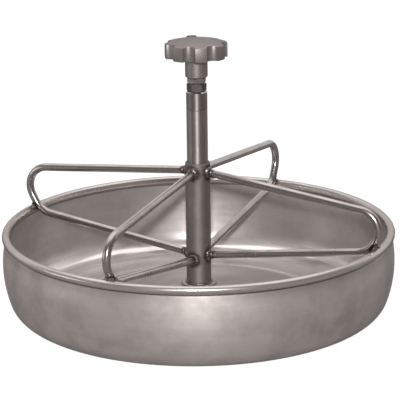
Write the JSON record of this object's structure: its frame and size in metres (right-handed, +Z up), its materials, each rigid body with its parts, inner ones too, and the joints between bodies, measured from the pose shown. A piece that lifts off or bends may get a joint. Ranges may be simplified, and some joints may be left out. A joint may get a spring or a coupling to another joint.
{
  "type": "pig feeder",
  "caption": "Round pressed steel piglet feeder bowl with wire dividers round a spring-loaded column, whose knob lowers and turns a cross bar to clamp the bowl to a slatted floor.",
  "frame": {"origin": "centre of the base ring, on the ground", "axes": "+Z up the column's axis, +X along the right-hand divider, +Y along the rear divider"},
  "size_m": [0.3014, 0.302, 0.2097],
  "materials": {
    "bowl_steel": "satin brushed in rings",
    "wire_steel": "drawn wire, polished, dark at the welds",
    "post_steel": "drawn tube, satin",
    "weld_steel": "satin, stained by welding",
    "knob_steel": "turned and milled, matt",
    "nut_steel": "bright hex bar, darkened",
    "spring_steel": "drawn spring wire",
    "bar_steel": "rolled flat bar"
  },
  "bodies": {
    "base": {"bowl": "bowl_steel", "base_washer": "weld_steel", "sleeve": "post_steel", "divider_right": "wire_steel", "divider_rear": "wire_steel", "divider_left": "wire_steel", "divider_front": "wire_steel", "lock_spring": "spring_steel"},
    "press": {"thrust_washer": "nut_steel"},
    "plunger": {"guide_tube": "post_steel", "tube_plug": "post_steel", "tie_rod": "nut_steel", "clamp_nut": "nut_steel", "jam_nut": "nut_steel", "knob": "knob_steel", "direction_mark": "knob_steel", "stop_washer": "nut_steel", "bar_nuts": "nut_steel", "lock_bar": "bar_steel"}
  },
  "joints": [
    {"name": "lock_press", "type": "slide", "parent": "base", "child": "press", "axis": [0, 0, -1], "range_m": [0, 0.032], "stiffness_N_per_m": 2500, "springref_m": -0.0136, "deforming": ["lock_spring"]},
    {"name": "lock_turn", "type": "hinge", "parent": "press", "child": "plunger", "pos_m": [0, 0, 0.1], "axis": [0, 0, 1], "continuous": true}
  ]
}
